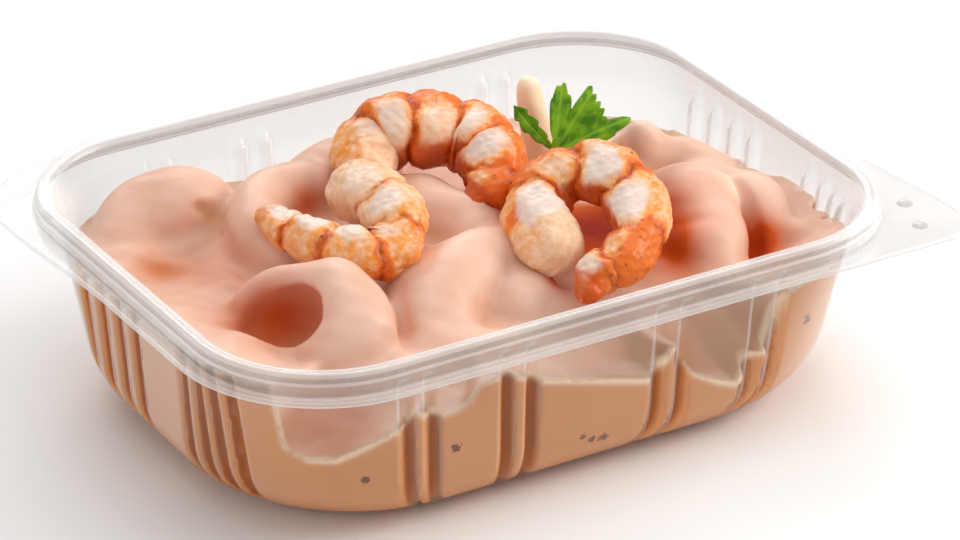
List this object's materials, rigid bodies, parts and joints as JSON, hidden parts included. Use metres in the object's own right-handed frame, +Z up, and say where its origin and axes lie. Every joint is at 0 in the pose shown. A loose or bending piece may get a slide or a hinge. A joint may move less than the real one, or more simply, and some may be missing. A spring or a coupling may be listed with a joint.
{
  "type": "prawn cocktail",
  "caption": "Prawn cocktail: coated prawns in pink sauce filling a clear ribbed tray, with bare curled prawns and a parsley sprig on top.",
  "frame": {"origin": "centre of the bounding box at the bottom, on the surface that the tray stands on", "axes": "+X along the tray's long side towards its wide ear, +Y across it towards the back, +Z up"},
  "size_m": [0.1502, 0.111, 0.0473],
  "materials": {
    "clear_plastic": "clear glossy thin plastic",
    "sauce": "smooth creamy satin",
    "prawn_flesh": "moist banded orange and white",
    "leaf": "satin green"
  },
  "bodies": {
    "root": {"tray": "clear_plastic", "filling": "sauce", "prawn_back": "prawn_flesh", "prawn_left": "prawn_flesh", "prawn_right": "prawn_flesh", "parsley": "leaf"}
  },
  "joints": []
}
